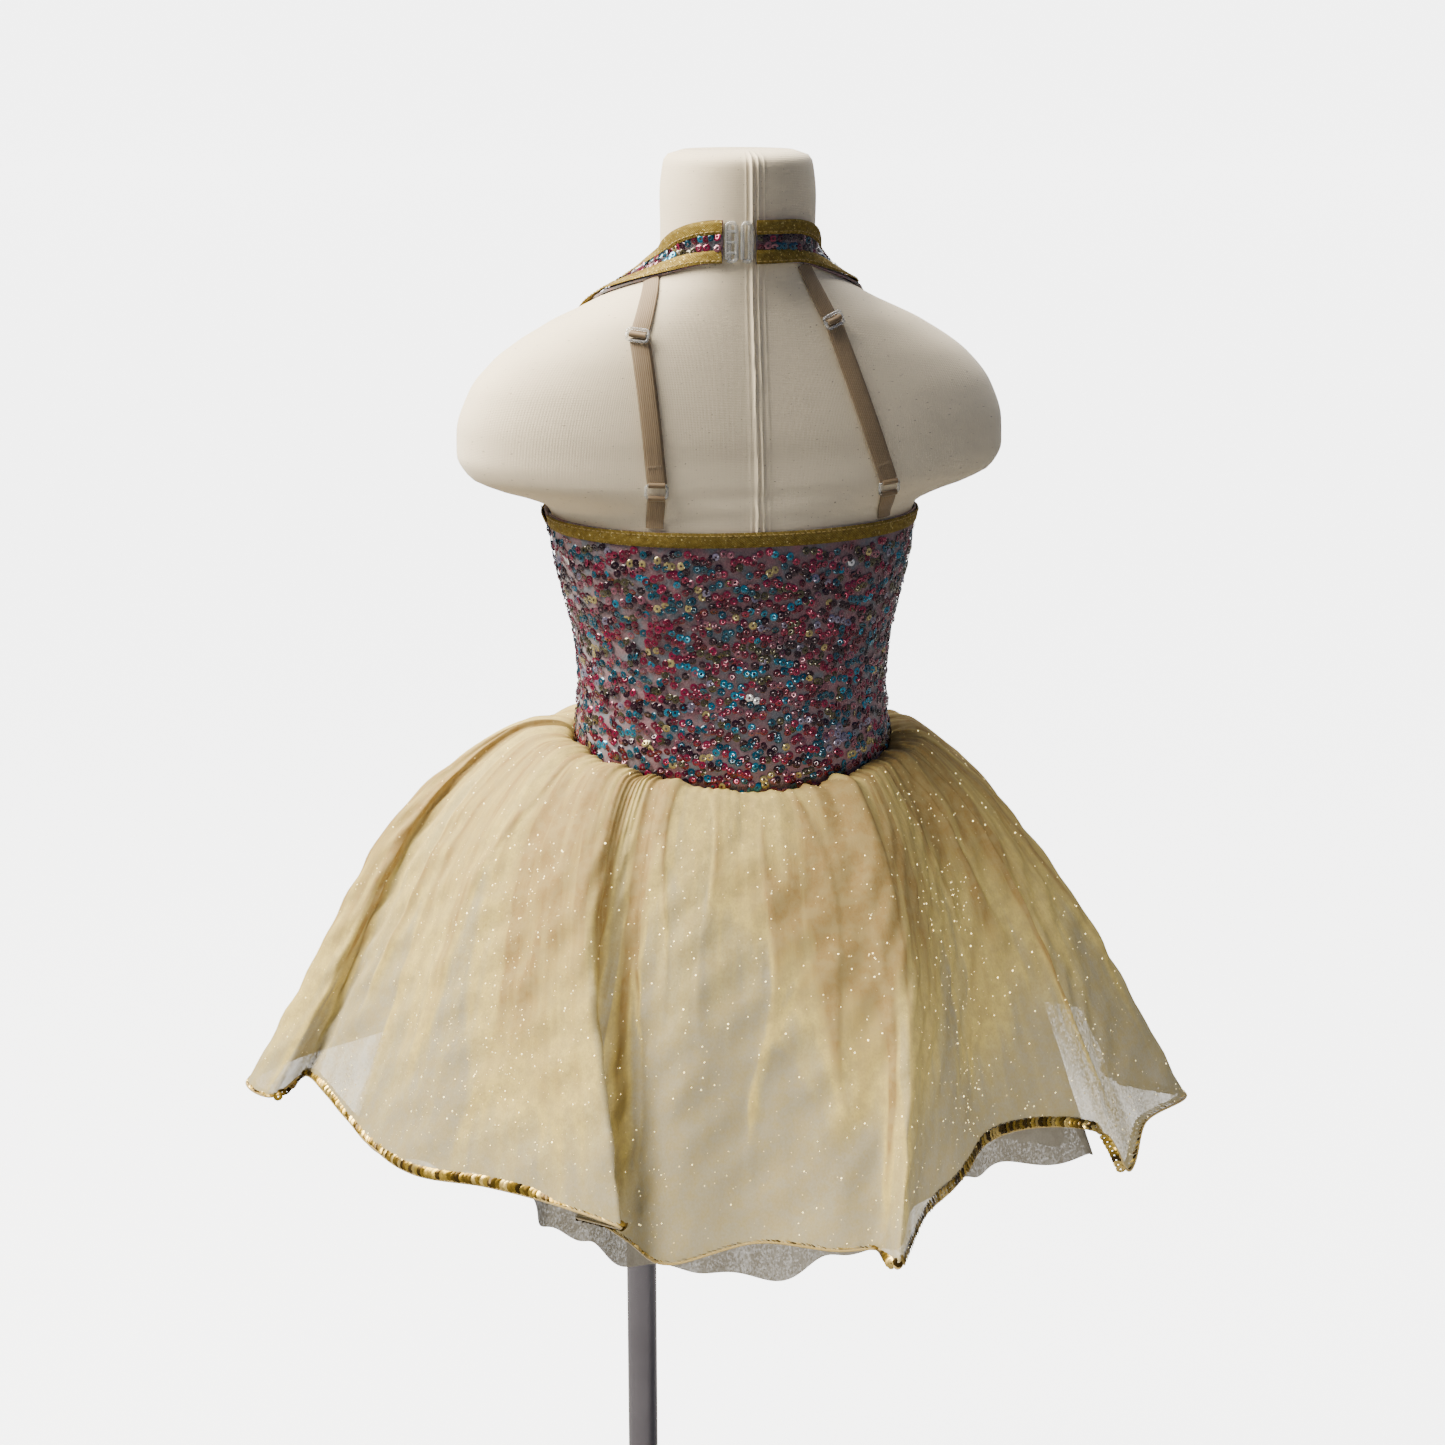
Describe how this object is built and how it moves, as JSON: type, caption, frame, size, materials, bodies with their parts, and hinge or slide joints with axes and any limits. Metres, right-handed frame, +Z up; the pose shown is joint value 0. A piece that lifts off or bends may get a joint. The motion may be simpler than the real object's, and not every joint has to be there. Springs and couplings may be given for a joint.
{
  "type": "ballet tutu on a limbless dress form stand",
  "caption": "Child's halter dance dress with a sequinned bodice and a gathered gold tulle skirt, worn by a limbless dress form on a pole with a round base.",
  "frame": {"origin": "centre of the body's axis on the floor, level with the underside of the base plate", "axes": "+X towards the wearer's left, +Y out of the wearer's back, +Z up"},
  "size_m": [0.5802, 0.5015, 1.021],
  "materials": {
    "sequin_mesh": "stretch mesh covered with mixed ring sequins",
    "gold_binding": "gold metallic stretch cloth, folded",
    "gold_tulle": "fine see-through tulle with gold glitter",
    "ivory_net": "plain see-through net",
    "sequin_trim": "flat braid of overlapping gold sequins",
    "nude_elastic": "woven elastic",
    "clear_plastic": "clear moulded plastic",
    "linen": "plain woven cream linen over a hard form",
    "chrome": "polished tube",
    "base_metal": "brushed plate"
  },
  "bodies": {
    "root": {"form_body": "linen", "base_plate": "base_metal", "base_collar": "chrome", "pole": "chrome", "form_flange": "chrome", "bodice_back": "sequin_mesh", "bodice_front": "sequin_mesh", "neck_band": "sequin_mesh", "neck_binding": "gold_binding", "back_binding": "gold_binding", "armhole_binding_left": "gold_binding", "armhole_binding_right": "gold_binding", "clasp_hook": "clear_plastic", "clasp_loop": "clear_plastic", "strap_stub_left": "nude_elastic", "strap_ring_left": "clear_plastic", "strap_lower_left": "nude_elastic", "strap_slider_left": "clear_plastic", "strap_upper_left": "nude_elastic", "strap_stub_right": "nude_elastic", "strap_ring_right": "clear_plastic", "strap_lower_right": "nude_elastic", "strap_slider_right": "clear_plastic", "strap_upper_right": "nude_elastic", "skirt_tulle": "gold_tulle", "hem_trim": "sequin_trim", "net_long": "ivory_net", "net_short": "ivory_net"}
  },
  "joints": []
}
